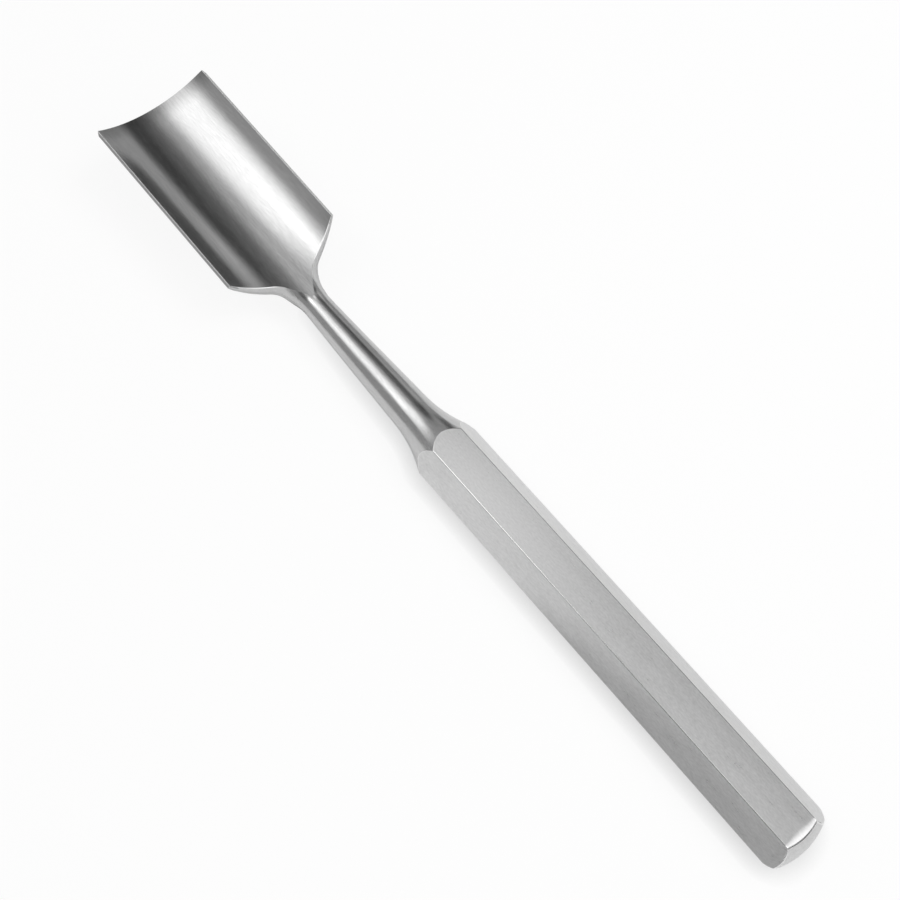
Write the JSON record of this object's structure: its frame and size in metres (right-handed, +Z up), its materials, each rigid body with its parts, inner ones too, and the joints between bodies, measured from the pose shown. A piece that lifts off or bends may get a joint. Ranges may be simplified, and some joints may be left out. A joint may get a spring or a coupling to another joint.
{
  "type": "bone gouge",
  "caption": "One-piece stainless steel bone gouge: a wide trough-shaped blade with an outside bevel on a slim round neck and a plain hexagonal handle.",
  "frame": {"origin": "under the middle of the bounding box, on the surface that the handle's flat lies on", "axes": "+X from the butt of the handle to the cutting edge, +Z up out of the open trough, +Y to the left when looking from the butt to the edge"},
  "size_m": [0.2412, 0.0328, 0.0218],
  "materials": {
    "gouge": "satin stainless steel, polished on the neck"
  },
  "bodies": {
    "root": {"gouge": "gouge"}
  },
  "joints": []
}
